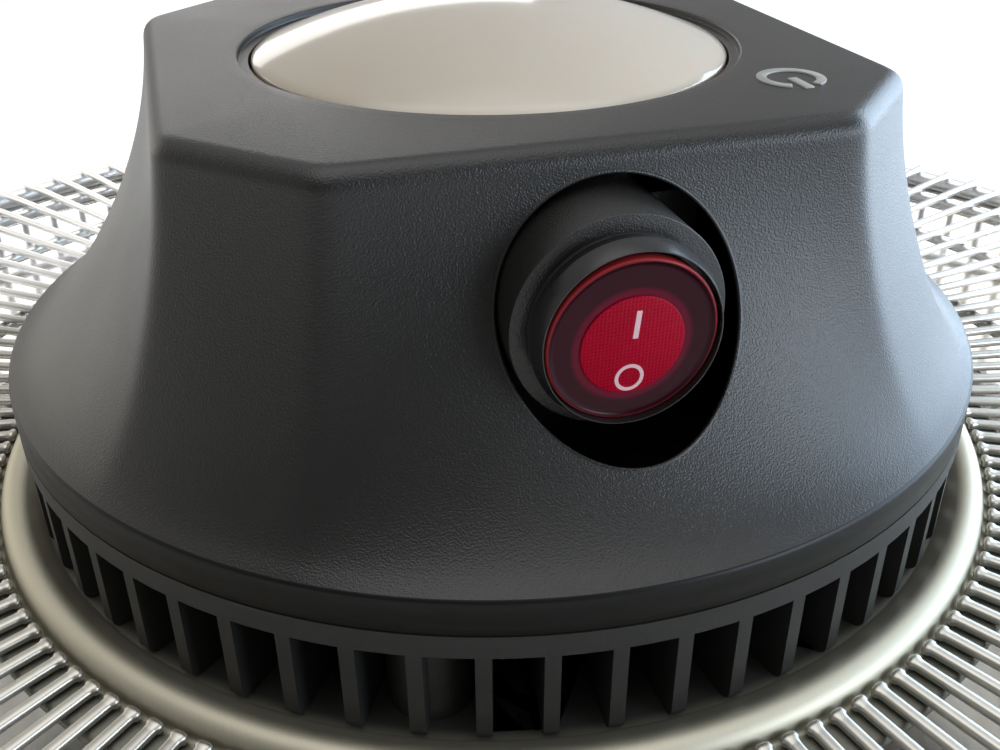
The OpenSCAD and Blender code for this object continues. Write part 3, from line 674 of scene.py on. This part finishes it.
def make_pod_cover():
    """The octagonal shell with its recess and switch opening, and its separate smooth lip."""
    long, short = TOP_LONG + TOP_EDGE, TOP_SHORT + TOP_EDGE
    inner_r = POD_R - COVER_WALL
    lip = lathe("pod_cover_lip", [
        (POD_R - 0.35, PARTING_Z), (POD_R, PARTING_Z + 0.35), (POD_R, CREASE_Z - 0.7),
        (POD_R - 0.08, CREASE_Z - 0.2), (POD_R - LIP_EDGE, CREASE_Z + LIP_GAP),
        (inner_r, CREASE_Z - INNER_DROP), (inner_r, PARTING_Z)], 240, smooth=50)
    # The lip's black is darker than the pod's grained black: painted shade on the band below the
    # crease
    dress(lip, moulded("smooth black pod lip", (0.004, 0.004, 0.004), 0.4, specular=0.25),
          nodes=("pod_cover",))
    flare = flare_rings(CREASE_Z, FLARE_H, long, short, POD_R, 44)
    rings = [plan_ring(CREASE_Z + LIP_GAP, long, short, POD_R - LIP_EDGE, 1)] + flare[2:]
    for out, up in arc(0, 0, TOP_EDGE, 0, 90, 8)[1:]:
        rings.append(plan_ring(CREASE_Z + FLARE_H + up, TOP_LONG + out, TOP_SHORT + out,
                               POD_R, 0))
    rings += [round_ring(z, r) for r, z in
              [(RECESS_R + 2.4, TOP_Z)] + arc(RECESS_R + 0.45, TOP_Z - 0.45, 0.45, 90, 180, 3)
              + arc(RECESS_R - 0.35, RECESS_Z + 0.35, 0.35, 0, -90, 2)
              + arc(DOME_HOLE_R + 0.25, RECESS_Z - 0.25, 0.25, 90, 180, 2)
              + [(DOME_HOLE_R, ROOF_UNDER_Z)]]
    inner = flare_rings(CREASE_Z - INNER_DROP, TOP_Z - CREASE_Z - INNER_DROP,
                        long - COVER_WALL, short - COVER_WALL, inner_r, 14)
    rings += inner[::-1]
    cover = loft("pod_cover.looks", rings + rings[:1], smooth=28)

    cutter = loft("opening cutter", [
        round_opening(OPENING_R, -12), round_opening(OPENING_R, 0.4),
        round_opening(OPENING_R + 1.6, 1.6), round_opening(OPENING_R + 1.6, 14)], closed=False)
    choose(cover)
    cut = cover.modifiers.new("switch opening", "BOOLEAN")
    cut.operation = "DIFFERENCE"
    cut.solver = "EXACT"
    cut.object = cutter
    bpy.ops.object.modifier_apply(modifier=cut.name)
    bpy.data.objects.remove(cutter)

    cover = join("pod_cover.looks", [cover, make_opening_lip()])
    smooth_faces(cover, 28)
    stand_for(cover, "pod_cover")


# ---------- lamp and guard ----------

def make_lamp():
    """The opal dome: part of a ball over a short wall, with a foot under the pod's roof."""
    ball = (DOME_R ** 2 + DOME_RISE ** 2) / (2 * DOME_RISE)
    wall, foot_r, foot_z, foot_t = 2.0, 44.0, 218.3, 1.5
    inner_r = DOME_R - wall
    edge_z = RECESS_Z - 0.1
    crown = TOP_Z - 0.8 + DOME_RISE

    def sphere(radius, r):
        return r, crown - ball + math.sqrt(radius * radius - r * r)

    profile = ([sphere(ball - wall, r) for r in (0.4, 6, 12, 18, 24, 30, 35, inner_r)]
               + [(inner_r, foot_z), (foot_r, foot_z), (foot_r, foot_z + foot_t),
                  (DOME_R, foot_z + foot_t), (DOME_R, edge_z - 0.2)]
               + arc(DOME_R - 0.5, edge_z, 0.5, 0, 68, 3)
               + [sphere(ball, r) for r in (39.2, 38, 36, 33, 30, 26, 22, 18, 14, 10, 6, 3, 0.4)])
    stand_for(lathe("lamp_dome.looks", profile, 160, closed=False), "lamp_dome")


def wire_z(r):
    """Level of the guard wires' middle at a radius."""
    slope = (WIRE_END_Z - WIRE_START_Z) / (WIRE_END_R - WIRE_START_R)
    return WIRE_START_Z + slope * (r - WIRE_START_R)


def make_wires():
    """One flattened guard wire with its knobbed tip, spun round the axis."""
    along_wide_high = (
        (0.0, 0.6, 0.4), (0.15, 1.1, 0.75), (0.45, 1.4, 0.95), (1.1, 1.4, 0.95),
        (1.5, 1.05, 0.8), (2.2, WIRE_R, 0.8), (40, WIRE_R, 0.85), (80, WIRE_R, 0.9),
        (WIRE_END_R - WIRE_START_R, WIRE_R, WIRE_R))

    def squared(value):
        return math.copysign(abs(value) ** 0.7, value)

    rings = []
    for along, wide, high in along_wide_high:
        r = WIRE_START_R + along
        rings.append([(r, wide * squared(math.cos(b + math.pi / 12)),
                       wire_z(r) + high * squared(math.sin(b + math.pi / 12)))
                      for b in circle(12)])
    wire = loft("guard_wires.looks", rings, closed=False, smooth=50)
    choose(wire)
    bpy.ops.object.mode_set(mode="EDIT")
    bpy.ops.mesh.select_all(action="SELECT")
    bpy.ops.mesh.spin(steps=WIRE_COUNT - 1, dupli=True, center=(0, 0, 0), axis=(0, 0, 1),
                      angle=2 * math.pi * (WIRE_COUNT - 1) / WIRE_COUNT)
    bpy.ops.mesh.select_all(action="SELECT")
    bpy.ops.mesh.normals_make_consistent(inside=False)
    bpy.ops.object.mode_set(mode="OBJECT")
    smooth_faces(wire, 50)
    stand_for(wire, "guard_wires")


def make_guard():
    """Stamped hub with its bead, the three guard rings and the hoop."""
    hole_r, floor_r, flange_r = 8.2, 86.2, 100.0
    bead, sheet, fillet, curl = 3.2, 1.0, 0.8, 1.2
    inner = bead - sheet
    flange_z = wire_z(flange_r) - WIRE_R
    profile = ([(hole_r, HUB_Z), (hole_r, HUB_Z + sheet), (floor_r, HUB_Z + sheet)]
               + arc(floor_r, HUB_Z + sheet + fillet, fillet, -90, -30, 2)
               + arc(BEAD_R, HUB_Z, bead, 150, 0, 12)[1:]
               + arc(BEAD_R + bead + fillet, flange_z + fillet, fillet, 180, 270, 3)
               + arc(flange_r, flange_z - curl, curl, 90, -180, 9)
               + [(flange_r - curl, flange_z - sheet), (BEAD_R + inner, flange_z - sheet),
                  (BEAD_R + inner, HUB_Z)]
               + arc(BEAD_R, HUB_Z, inner, 0, 180, 8)[1:-1] + [(BEAD_R - inner, HUB_Z)])
    stand_for(lathe("guard_hub.looks", profile, 240), "guard_hub")
    rod_r, hoop_r, hoop_z = 1.5, 2.5, 141.5
    rings = [lathe("ring", arc(r, wire_z(r) - WIRE_R - rod_r, rod_r, 0, 330, 11), 180)
             for r in (125, 158, 188)]
    stand_for(join("guard_rings.looks", rings), "guard_rings")
    stand_for(lathe("guard_hoop.looks", arc(DISH_R, hoop_z, hoop_r, 0, 337.5, 15), 200),
              "guard_hoop")


# ---------- switch ----------

def make_switch():
    """The barrel, seal and conical bezel that stand in the opening."""
    flange_r, body_r, bore_r, bezel_r, mouth_r = 12.6, 10.0, 9.0, 12.9, 12.0
    seal = lathe("switch_seal.looks",
                 [(body_r + 0.1, BARREL_Y), (body_r + 0.1, FLANGE_Y)]
                 + arc(flange_r - 0.2, FLANGE_Y - 0.2, 0.2, 90, 0, 2)
                 + [(flange_r, BARREL_Y)], 120)
    stand_for(face_switch(seal), "switch_seal")
    floor_y, mouth_y = FLANGE_Y + 0.8, BEZEL_Y + 2.8
    bezel = lathe("switch_body.looks",
                  [(body_r - 0.1, SWITCH_BACK_Y), (body_r, FLANGE_Y), (flange_r, FLANGE_Y),
                   (flange_r, BEZEL_Y - 0.3), (bezel_r, BEZEL_Y), (bezel_r, BEZEL_Y + 0.3),
                   (mouth_r + 0.15, mouth_y - 0.1)]
                  + arc(mouth_r + 0.09, mouth_y - 0.08, 0.08, 20, 100, 2)
                  + [(mouth_r, mouth_y), (mouth_r, floor_y), (bore_r, floor_y),
                     (bore_r, SWITCH_BACK_Y)], 128)
    stand_for(face_switch(bezel), "switch_body")
    barrel = merged_copy("switch_carrier", bevel=0.45, segments=3, angle=50)
    dress(barrel, pod_black, nodes=("switch_carrier",))


def rocker_piece(piece, material):
    """Sets a piece drawn along +Z on the tilted face of the rocker."""
    dress(face_switch(piece, PIVOT_Y, ROCKER_TILT), material, "rocker_body")


def make_rocker():
    """The dished disc on the CAD rocker's stem, with its window and the marks I and O."""
    front, disc_t, edge, dish = ROCKER_FRONT, 2.2, 0.35, 0.26
    disc = lathe("rocker.looks",
                 [(0.3, front - disc_t), (ROCKER_R - 0.4, front - disc_t)]
                 + arc(ROCKER_R - 0.3, front - disc_t + 0.3, 0.3, -90, 0, 2)
                 + arc(ROCKER_R - edge, front - edge, edge, 0, 130, 5)
                 + [(ROCKER_R - 0.75, front - 0.22), (ROCKER_R - 1.2, front - dish),
                    (0.3, front - dish)], 128, closed=False)
    face_switch(disc, PIVOT_Y, ROCKER_TILT)
    stem = merged_copy("rocker", "rocker stem")
    choose(stem)
    bpy.ops.object.mode_set(mode="EDIT")
    bpy.ops.mesh.select_all(action="SELECT")
    tilt = math.radians(ROCKER_TILT)
    normal = Vector((0, -math.cos(tilt), -math.sin(tilt)))
    into_disc = front - disc_t - 0.25
    cut_at = (Vector((SWITCH_X, -PIVOT_Y, SWITCH_Z)) + normal * into_disc) * MM
    bpy.ops.mesh.bisect(plane_co=cut_at, plane_no=normal, use_fill=True, clear_outer=True,
                        clear_inner=False)
    bpy.ops.object.mode_set(mode="OBJECT")
    # The cut is capped twice, so the second cap is taken away
    stem.data.validate()
    rocker = join("rocker.looks", [disc, stem])
    smooth_faces(rocker, 35)
    stand_for(rocker, "rocker", "rocker_body")

    window = lathe("rocker_window", [(0.3, front - 0.5), (WINDOW_R, front - 0.5)]
                   + arc(WINDOW_R - 0.2, front - 0.2, 0.2, 0, 90, 3) + [(0.3, front)], 96,
                   closed=False)
    rocker_piece(put(window, (0, -WINDOW_DOWN, 0)), rocker_window())

    mark = moulded("pale printed mark", (0.62, 0.4, 0.43), 0.45, vary=0.05)
    under, proud = front - 0.05, front + 0.06
    ring_r, ring_wide, bar_wide, bar_long = 2.0, 0.5, 0.75, 4.0
    ring = lathe("rocker_mark_off", [(ring_r - ring_wide, under), (ring_r - ring_wide, proud),
                                     (ring_r, proud), (ring_r, under)], 48)
    rocker_piece(put(ring, (-0.15, -4.72 - WINDOW_DOWN, 0)), mark)
    deselect()
    bpy.ops.mesh.primitive_cube_add(
        size=1, scale=(bar_wide * MM, bar_long * MM, 2 * (proud - front) * MM))
    bar = current("rocker_mark_on")
    bpy.ops.object.mode_set(mode="EDIT")
    bpy.ops.mesh.select_all(action="SELECT")
    bpy.ops.mesh.bevel(offset=0.05 * MM, segments=2)
    bpy.ops.object.mode_set(mode="OBJECT")
    rocker_piece(put(bar, (0.35, 3.05 - WINDOW_DOWN, front), (0, 0, -4)), mark)


# ---------- dish, shell and heating ring ----------

def dish_z(r):
    """Level of the dish's parabola at a radius."""
    return DISH_FOOT_Z + DISH_DEPTH * (r / DISH_R) ** 2


def spread(start, end, steps):
    """Evenly spaced values from one to another."""
    return [start + (end - start) * i / steps for i in range(steps + 1)]


def make_dish():
    """The polished dish with its rolled rim, and the painted shell that follows it."""
    radii = spread(24, 205.8, 40)
    profile = ([(r, dish_z(r)) for r in radii]
               + arc(DISH_R, DISH_FOOT_Z + DISH_DEPTH, 3, 210, -120, 22)
               + [(r, dish_z(r) - SHEET_T) for r in radii[::-1]])
    stand_for(lathe("reflector.looks", profile, 240), "reflector")
    post_r, floor_z, floor_r, edge_r = 8.1, 40.0, 71.0, 204.4
    outer_gap, inner_gap = 7.0, 5.8
    radii = spread(75, edge_r, 30)
    profile = ([(post_r, floor_z), (floor_r + 0.2, floor_z), (floor_r + 1.4, floor_z + 0.35)]
               + [(r, dish_z(r) - outer_gap) for r in radii]
               + [(edge_r, dish_z(edge_r) - 1.4), (edge_r - 1, dish_z(edge_r) - 1.7)]
               + [(r - 0.9, dish_z(r) - inner_gap) for r in radii[::-1]]
               + [(floor_r, floor_z + 1), (post_r, floor_z + 1)])
    stand_for(lathe("back_shell.looks", profile, 200), "back_shell")


def ring_place(angle, out, up):
    """A place beside the heating ring's middle line, at an angle in degrees."""
    a = math.radians(angle)
    return (RING_R + out) * math.cos(a), (RING_R + out) * math.sin(a), RING_Z + up


def make_heating_tube():
    """The quartz tube: an outer wall along the ring and a bore back, open at both ends."""
    path = spread(RING_START, RING_START + RING_SWEEP, 150)
    rings = [[ring_place(angle, radius * math.cos(b), radius * math.sin(b)) for b in circle(20)]
             for radius, order in ((TUBE_R, path), (TUBE_BORE_R, path[::-1])) for angle in order]
    stand_for(loft("heater_tube.looks", rings + rings[:1], smooth=60), "heater_tube")


def make_filament():
    """The coiled resistance wire along the middle of the tube."""
    turns, per_turn, coil_r, wire_r = 300, 9, 1.25, 0.33
    deselect()
    coil = bpy.data.curves.new("filament", "CURVE")
    coil.dimensions = "3D"
    coil.bevel_depth = wire_r * MM
    coil.bevel_resolution = 0
    coil.use_fill_caps = True
    spline = coil.splines.new("POLY")
    spline.points.add(turns * per_turn)
    for k, point in enumerate(spline.points):
        b = 2 * math.pi * k / per_turn
        x, y, z = ring_place(RING_START + RING_SWEEP * k / (turns * per_turn),
                             coil_r * math.cos(b), coil_r * math.sin(b))
        point.co = (x * MM, y * MM, z * MM, 1)
    piece = bpy.data.objects.new("filament.looks", coil)
    bpy.context.scene.collection.objects.link(piece)
    choose(piece)
    bpy.ops.object.convert(target="MESH")
    piece = current("filament.looks")
    bpy.ops.object.mode_set(mode="EDIT")
    close_shape()
    smooth_faces(piece, 80)
    stand_for(piece, "filament")


# ---------- scene ----------

def place_camera():
    """The photograph's camera, solved from the circles of the pod, dome and bead."""
    pitch, yaw, roll = (math.radians(a) for a in (30.516, 16.248, 0.366))
    forward = Vector((math.cos(pitch) * math.sin(yaw), math.cos(pitch) * math.cos(yaw),
                      -math.sin(pitch)))
    right = Vector((math.cos(yaw), -math.sin(yaw), 0))
    down = forward.cross(right)
    right, down = (right * math.cos(roll) + down * math.sin(roll),
                   down * math.cos(roll) - right * math.sin(roll))
    lens = bpy.data.cameras.new("photo camera")
    lens.lens = 39.09
    lens.sensor_width = 36
    lens.clip_start = 0.01
    lens.clip_end = 20
    camera = bpy.data.objects.new("photo camera", lens)
    matrix = Matrix((right, -down, -forward)).transposed().to_4x4()
    matrix.translation = Vector((-51.264, -181.443, 268.572)) * MM
    camera.matrix_world = matrix
    bpy.context.scene.collection.objects.link(camera)
    bpy.context.scene.camera = camera


def soft_light(name, location, size, power, colour):
    """A rectangular light in metres and watts, turned towards the pod."""
    aim = Vector((0, 0, 0.18))
    light = bpy.data.lights.new(name, "AREA")
    light.shape = "RECTANGLE"
    light.size, light.size_y = size
    light.energy = power
    light.color = colour
    lamp = bpy.data.objects.new(name, light)
    lamp.location = location
    lamp.rotation_euler = (aim - Vector(location)).to_track_quat("-Z", "Y").to_euler()
    bpy.context.scene.collection.objects.link(lamp)


def make_world():
    """A pale world, brighter in reflections from above and behind."""
    world = bpy.data.worlds.new("pale studio")
    bpy.context.scene.world = world
    world.use_nodes = True
    tree = world.node_tree
    ambient = tree.nodes["Background"]
    ambient.inputs["Color"].default_value = (1.0, 0.98, 0.94, 1)
    ambient.inputs["Strength"].default_value = 0.5
    seen = tree.nodes.new("ShaderNodeBackground")
    direction = tree.nodes.new("ShaderNodeSeparateXYZ")
    tree.links.new(tree.nodes.new("ShaderNodeTexCoord").outputs["Generated"],
                   direction.inputs[0])

    def step(axis, start, end, low, high):
        """A smooth step of the world's strength along one axis of the direction."""
        side = tree.nodes.new("ShaderNodeMapRange")
        side.interpolation_type = "SMOOTHSTEP"
        tree.links.new(direction.outputs[axis], side.inputs["Value"])
        for key, value in (("From Min", start), ("From Max", end), ("To Min", low),
                           ("To Max", high)):
            side.inputs[key].default_value = value
        return side.outputs[0]

    def larger(first, second):
        node = tree.nodes.new("ShaderNodeMath")
        node.operation = "MAXIMUM"
        tree.links.new(first, node.inputs[0])
        tree.links.new(second, node.inputs[1])
        return node.outputs[0]

    path = tree.nodes.new("ShaderNodeLightPath").outputs
    behind = step("Y", -0.7, 0.5, 0.16, 0.68)
    overhead = step("Z", 0.72, 0.95, 0.0, 2.6)
    tree.links.new(larger(larger(behind, overhead), path["Is Camera Ray"]),
                   seen.inputs["Strength"])
    most = larger(larger(path["Is Camera Ray"], path["Is Glossy Ray"]),
                  path["Is Transmission Ray"])
    mix = tree.nodes.new("ShaderNodeMixShader")
    tree.links.new(most, mix.inputs[0])
    tree.links.new(ambient.outputs[0], mix.inputs[1])
    tree.links.new(seen.outputs[0], mix.inputs[2])
    tree.links.new(mix.outputs[0], tree.nodes["World Output"].inputs["Surface"])


def make_lights():
    """Cool windows at the right and in front, and weak warm light from behind."""
    soft_light("back window", (0.05, 1.25, 0.45), (0.8, 0.3), 1.5, (1.0, 0.98, 0.95))
    soft_light("right window", (1.1, 0.15, 0.3), (1.2, 1.0), 23, (0.62, 0.8, 1.0))
    soft_light("front right window", (0.95, -0.95, 0.55), (0.7, 0.6), 12, (0.78, 0.88, 1.0))
    soft_light("left fill", (-0.9, 0.85, 0.4), (0.8, 0.6), 2, (1.0, 0.94, 0.8))


def make_floor():
    """A pale paper floor that the heater's rear housing stands on."""
    bpy.ops.mesh.primitive_plane_add(size=6, location=(0, 0, 0))
    floor = current("floor")
    paper = Finish("pale floor", roughness=0.9, emission_color=(1, 1, 1),
                   emission_strength=0.35)
    paper.set(base_color=paper.blend(paper.noise(300, 2), (0.86, 0.86, 0.86),
                                     (0.9, 0.9, 0.9)))
    floor.data.materials.append(paper.material)


bpy.context.scene.view_settings.view_transform = "Standard"
place_camera()
deselect()
make_world()
make_lights()
make_floor()
make_pod_cover()
make_lamp()
stand_for(merged_copy("power_symbol", bevel=0.08, segments=2, angle=50), "power_symbol")
stand_for(merged_copy("pod_base", bevel=0.3, segments=2, angle=50), "pod_base")
make_switch()
make_rocker()
make_guard()
make_wires()
make_dish()
make_heating_tube()
make_filament()
stand_for(merged_copy("rim_clips", bevel=0.35, segments=2), "rim_clips")
stand_for(merged_copy("rear_canopy", bevel=0.4, segments=2, angle=50), "rear_canopy")
stand_for(merged_copy("bail", bevel=0.5, segments=3, angle=50), "bail", "bail_body")

for node, source in frame["nodes"].items():
    for place in range(len(source.data.materials)):
        source.data.materials[place] = finish_of[slot_of[node]]
